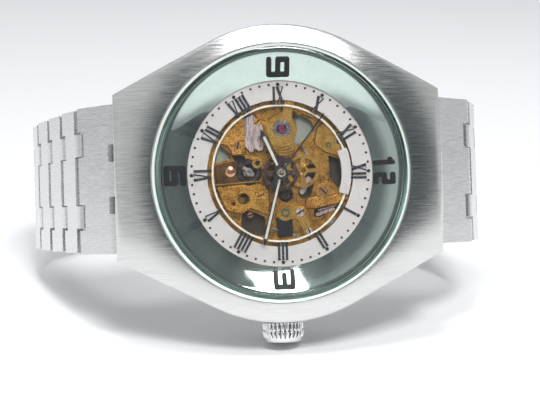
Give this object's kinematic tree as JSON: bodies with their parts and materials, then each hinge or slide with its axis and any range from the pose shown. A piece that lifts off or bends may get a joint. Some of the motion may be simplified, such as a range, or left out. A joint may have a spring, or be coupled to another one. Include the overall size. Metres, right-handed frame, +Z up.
{
  "type": "skeleton wristwatch",
  "caption": "Mechanical skeleton wristwatch: tonneau steel case, round raised crystal, ring dial, openworked gilt movement, link bracelet and folding clasp.",
  "frame": {"origin": "on the table under the middle of the watch's box, with the watch standing on its crown and the lower edge of its clasp", "axes": "+X from 6 o'clock to 12 o'clock, +Z up, and the dial faces -Y, leaning back by about 18 degrees"},
  "size_m": [0.066, 0.0576, 0.0429],
  "materials": {
    "brushed_steel": "long-grained brushed stainless steel",
    "polished_steel": "mirror-polished stainless steel",
    "sapphire": "clear polished sapphire with a faint green edge",
    "white_plastic": "smooth satin",
    "white_lacquer": "satin white lacquer with black printing",
    "gilt_brass": "gilt, engraved and bevelled",
    "movement_steel": "fine-ground steel",
    "black_hand": "gloss black edges",
    "black_rubber": "matte"
  },
  "bodies": {
    "case": {"case_middle": "brushed_steel", "case_back": "brushed_steel", "case_back_window": "sapphire", "crystal": "sapphire", "crystal_gasket": "white_plastic", "flange_ring": "polished_steel", "dial_ring": "white_lacquer", "movement_holder": "white_plastic", "main_plate": "gilt_brass", "barrel_bridge": "gilt_brass", "train_bridge": "gilt_brass", "balance_cock": "gilt_brass", "pallet_bridge": "gilt_brass", "crown_tube": "movement_steel"},
    "crown_seal": {"crown_gasket": "black_rubber"},
    "crown": {"crown": "polished_steel", "stem": "movement_steel"},
    "winding_pinion": {"winding_pinion": "movement_steel"},
    "crown_wheel": {"crown_wheel": "movement_steel"},
    "ratchet_wheel": {"ratchet_wheel": "movement_steel"},
    "sliding_pinion": {"sliding_pinion": "movement_steel"},
    "setting_lever": {"setting_lever": "movement_steel"},
    "fourth_wheel": {"fourth_wheel": "gilt_brass", "second_hand": "black_hand"},
    "third_wheel": {"third_wheel": "gilt_brass"},
    "centre_wheel": {"centre_wheel": "gilt_brass"},
    "barrel": {"barrel": "movement_steel", "mainspring": "movement_steel"},
    "escape_wheel": {"escape_wheel": "movement_steel"},
    "minute_hand": {"cannon_pinion": "movement_steel", "minute_hand": "black_hand"},
    "minute_wheel": {"minute_wheel": "gilt_brass"},
    "hour_hand": {"hour_wheel": "movement_steel", "hour_hand": "black_hand"},
    "pallet_fork": {"pallet_fork": "movement_steel"},
    "balance_wheel": {"balance_wheel": "gilt_brass", "hairspring": "movement_steel"},
    "rotor": {"rotor": "gilt_brass"},
    "click": {"click": "movement_steel"},
    "end_link_12": {"end_link_12": "brushed_steel"},
    "link_12_1": {"link_12_1": "brushed_steel"},
    "link_12_2": {"link_12_2": "brushed_steel"},
    "link_12_3": {"link_12_3": "brushed_steel"},
    "link_12_4": {"link_12_4": "brushed_steel"},
    "link_12_5": {"link_12_5": "brushed_steel"},
    "link_12_6": {"link_12_6": "brushed_steel"},
    "link_12_7": {"link_12_7": "brushed_steel"},
    "clasp_inner_blade": {"clasp_inner_blade": "brushed_steel"},
    "clasp_middle_blade": {"clasp_middle_blade": "brushed_steel"},
    "clasp_cover": {"clasp_cover": "brushed_steel"},
    "push_button_3": {"push_button_3": "polished_steel"},
    "push_button_9": {"push_button_9": "polished_steel"},
    "end_link_6": {"end_link_6": "brushed_steel"},
    "link_6_1": {"link_6_1": "brushed_steel"},
    "link_6_2": {"link_6_2": "brushed_steel"},
    "link_6_3": {"link_6_3": "brushed_steel"},
    "link_6_4": {"link_6_4": "brushed_steel"},
    "link_6_5": {"link_6_5": "brushed_steel"},
    "link_6_6": {"link_6_6": "brushed_steel"},
    "link_6_7": {"link_6_7": "brushed_steel"}
  },
  "joints": [
    {"name": "crown_pull", "type": "slide", "parent": "case", "child": "crown_seal", "axis": [0, -0.3031, -0.953], "range_m": [0, 0.0013]},
    {"name": "crown_spin", "type": "hinge", "parent": "crown_seal", "child": "crown", "pos_m": [0.00219, -0.02421, 0.0035], "axis": [0, -0.3031, -0.953], "continuous": true},
    {"name": "winding_pinion_spin", "type": "hinge", "parent": "case", "child": "winding_pinion", "pos_m": [0.00219, -0.02088, 0.01399], "axis": [0, -0.3031, -0.953], "continuous": true},
    {"name": "crown_wheel_spin", "type": "hinge", "parent": "case", "child": "crown_wheel", "pos_m": [0.00219, -0.01893, 0.01484], "axis": [0, -0.953, 0.3031], "continuous": true},
    {"name": "ratchet_wheel_spin", "type": "hinge", "parent": "case", "child": "ratchet_wheel", "pos_m": [0.00719, -0.01757, 0.0191], "axis": [0, -0.953, 0.3031], "continuous": true},
    {"name": "sliding_pinion_shift", "type": "slide", "parent": "crown", "child": "sliding_pinion", "axis": [0, -0.3031, -0.953], "range_m": [-0.0019, 0]},
    {"name": "setting_lever_turn", "type": "hinge", "parent": "case", "child": "setting_lever", "pos_m": [0.00549, -0.02231, 0.01213], "axis": [0, -0.953, 0.3031], "range_deg": [0, 22.7]},
    {"name": "fourth_spin", "type": "hinge", "parent": "case", "child": "fourth_wheel", "pos_m": [0.00219, -0.0171, 0.02223], "axis": [0, 0.953, -0.3031], "continuous": true},
    {"name": "third_spin", "type": "hinge", "parent": "case", "child": "third_wheel", "pos_m": [-0.00022, -0.01843, 0.01904], "axis": [0, 0.953, -0.3031], "continuous": true},
    {"name": "centre_spin", "type": "hinge", "parent": "case", "child": "centre_wheel", "pos_m": [0.00219, -0.01891, 0.02281], "axis": [0, 0.953, -0.3031], "continuous": true},
    {"name": "barrel_spin", "type": "hinge", "parent": "case", "child": "barrel", "pos_m": [0.00719, -0.0191, 0.01958], "axis": [0, 0.953, -0.3031], "continuous": true},
    {"name": "escape_spin", "type": "hinge", "parent": "case", "child": "escape_wheel", "pos_m": [-0.00121, -0.01704, 0.02441], "axis": [0, 0.953, -0.3031], "continuous": true},
    {"name": "minute_hand_spin", "type": "hinge", "parent": "case", "child": "minute_hand", "pos_m": [0.00219, -0.02082, 0.02341], "axis": [0, 0.953, -0.3031], "continuous": true},
    {"name": "minute_wheel_spin", "type": "hinge", "parent": "case", "child": "minute_wheel", "pos_m": [0.00529, -0.02025, 0.02355], "axis": [0, 0.953, -0.3031], "continuous": true},
    {"name": "hour_hand_spin", "type": "hinge", "parent": "case", "child": "hour_hand", "pos_m": [0.00219, -0.02082, 0.02341], "axis": [0, 0.953, -0.3031], "continuous": true},
    {"name": "pallet_swing", "type": "hinge", "parent": "case", "child": "pallet_fork", "pos_m": [0.00047, -0.01653, 0.026], "axis": [0, -0.953, 0.3031], "range_deg": [-5, 5]},
    {"name": "balance_swing", "type": "hinge", "parent": "case", "child": "balance_wheel", "pos_m": [0.00199, -0.01624, 0.02857], "axis": [0, -0.953, 0.3031], "range_deg": [-270, 270], "stiffness_Nm_per_rad": 0.0000004},
    {"name": "rotor_spin", "type": "hinge", "parent": "case", "child": "rotor", "pos_m": [0.00219, -0.01539, 0.02168], "axis": [0, 0.953, -0.3031], "continuous": true},
    {"name": "click_lift", "type": "hinge", "parent": "case", "child": "click", "pos_m": [0.01139, -0.01585, 0.02288], "axis": [0, -0.953, 0.3031], "range_deg": [0, 8], "stiffness_Nm_per_rad": 0.0001, "springref_deg": -11.46},
    {"name": "end_link_12_turn", "type": "hinge", "parent": "case", "child": "end_link_12", "pos_m": [0.02349, -0.01739, 0.02232], "axis": [0, -0.3031, -0.953], "range_deg": [0, 22]},
    {"name": "link_12_1_turn", "type": "hinge", "parent": "end_link_12", "child": "link_12_1", "pos_m": [0.02973, -0.01203, 0.02062], "axis": [0, -0.3031, -0.953], "range_deg": [0, 28]},
    {"name": "link_12_2_turn", "type": "hinge", "parent": "link_12_1", "child": "link_12_2", "pos_m": [0.032, -0.00694, 0.019], "axis": [0, -0.3031, -0.953], "range_deg": [0, 32]},
    {"name": "link_12_3_turn", "type": "hinge", "parent": "link_12_2", "child": "link_12_3", "pos_m": [0.03139, -0.00145, 0.01725], "axis": [0, -0.3031, -0.953], "range_deg": [0, 16]},
    {"name": "link_12_4_turn", "type": "hinge", "parent": "link_12_3", "child": "link_12_4", "pos_m": [0.0295, 0.00378, 0.01559], "axis": [0, -0.3031, -0.953], "range_deg": [0, 15]},
    {"name": "link_12_5_turn", "type": "hinge", "parent": "link_12_4", "child": "link_12_5", "pos_m": [0.02652, 0.00852, 0.01408], "axis": [0, -0.3031, -0.953], "range_deg": [0, 14]},
    {"name": "link_12_6_turn", "type": "hinge", "parent": "link_12_5", "child": "link_12_6", "pos_m": [0.02264, 0.01262, 0.01277], "axis": [0, -0.3031, -0.953], "range_deg": [0, 13]},
    {"name": "link_12_7_turn", "type": "hinge", "parent": "link_12_6", "child": "link_12_7", "pos_m": [0.01807, 0.01603, 0.01169], "axis": [0, -0.3031, -0.953], "range_deg": [0, 11]},
    {"name": "inner_blade_turn", "type": "hinge", "parent": "link_12_7", "child": "clasp_inner_blade", "pos_m": [0.01304, 0.01879, 0.01081], "axis": [0, -0.3031, -0.953], "range_deg": [0, 15]},
    {"name": "clasp_unfold", "type": "hinge", "parent": "clasp_inner_blade", "child": "clasp_middle_blade", "pos_m": [-0.01729, 0.02246, 0.00965], "axis": [0, 0.3031, 0.953], "range_deg": [0, 150]},
    {"name": "cover_turn", "type": "hinge", "parent": "clasp_middle_blade", "child": "clasp_cover", "pos_m": [0.00945, 0.02063, 0.01023], "axis": [0, -0.3031, -0.953], "range_deg": [0, 108.6]},
    {"name": "button_3_press", "type": "slide", "parent": "clasp_cover", "child": "push_button_3", "axis": [0, 0.3031, 0.953], "range_m": [0, 0.0006], "stiffness_N_per_m": 800, "springref_m": -0.0005},
    {"name": "button_9_press", "type": "slide", "parent": "clasp_cover", "child": "push_button_9", "axis": [0, -0.3031, -0.953], "range_m": [0, 0.0006], "stiffness_N_per_m": 800, "springref_m": -0.0005},
    {"name": "end_link_6_turn", "type": "hinge", "parent": "case", "child": "end_link_6", "pos_m": [-0.01911, -0.01739, 0.02232], "axis": [0, 0.3031, 0.953], "range_deg": [0, 22]},
    {"name": "link_6_1_turn", "type": "hinge", "parent": "end_link_6", "child": "link_6_1", "pos_m": [-0.02428, -0.01108, 0.02031], "axis": [0, 0.3031, 0.953], "range_deg": [0, 17]},
    {"name": "link_6_2_turn", "type": "hinge", "parent": "link_6_1", "child": "link_6_2", "pos_m": [-0.02664, -0.00603, 0.01871], "axis": [0, 0.3031, 0.953], "range_deg": [0, 5]},
    {"name": "link_6_3_turn", "type": "hinge", "parent": "link_6_2", "child": "link_6_3", "pos_m": [-0.02881, -0.00091, 0.01708], "axis": [0, 0.3031, 0.953], "range_deg": [0, 5]},
    {"name": "link_6_4_turn", "type": "hinge", "parent": "link_6_3", "child": "link_6_4", "pos_m": [-0.0308, 0.00429, 0.01543], "axis": [0, 0.3031, 0.953], "range_deg": [0, 11]},
    {"name": "link_6_5_turn", "type": "hinge", "parent": "link_6_4", "child": "link_6_5", "pos_m": [-0.032, 0.00969, 0.01371], "axis": [0, -0.3031, -0.953], "range_deg": [0, 12]},
    {"name": "link_6_6_turn", "type": "hinge", "parent": "link_6_5", "child": "link_6_6", "pos_m": [-0.031, 0.01514, 0.01197], "axis": [0, -0.3031, -0.953], "range_deg": [0, 12]},
    {"name": "link_6_7_turn", "type": "hinge", "parent": "link_6_6", "child": "link_6_7", "pos_m": [-0.02743, 0.01949, 0.01059], "axis": [0, -0.3031, -0.953], "range_deg": [0, 12]}
  ],
  "couplings": [
    {"joint": "winding_pinion_spin", "follows": "crown_spin", "ratio": 1},
    {"joint": "crown_wheel_spin", "follows": "crown_spin", "ratio": 0.83333},
    {"joint": "ratchet_wheel_spin", "follows": "crown_spin", "ratio": -0.55556},
    {"joint": "sliding_pinion_shift", "follows": "crown_pull", "ratio": -1.46},
    {"joint": "setting_lever_turn", "follows": "crown_pull", "rad_per_m": 303},
    {"joint": "third_spin", "follows": "fourth_spin", "ratio": -0.13333},
    {"joint": "centre_spin", "follows": "fourth_spin", "ratio": 0.016667},
    {"joint": "barrel_spin", "follows": "fourth_spin", "ratio": -0.002778},
    {"joint": "escape_spin", "follows": "fourth_spin", "ratio": -12},
    {"joint": "minute_hand_spin", "follows": "fourth_spin", "ratio": 0.016667},
    {"joint": "minute_wheel_spin", "follows": "fourth_spin", "ratio": -0.005556},
    {"joint": "hour_hand_spin", "follows": "fourth_spin", "ratio": 0.001389},
    {"joint": "cover_turn", "follows": "clasp_unfold", "ratio": 0.72333}
  ]
}
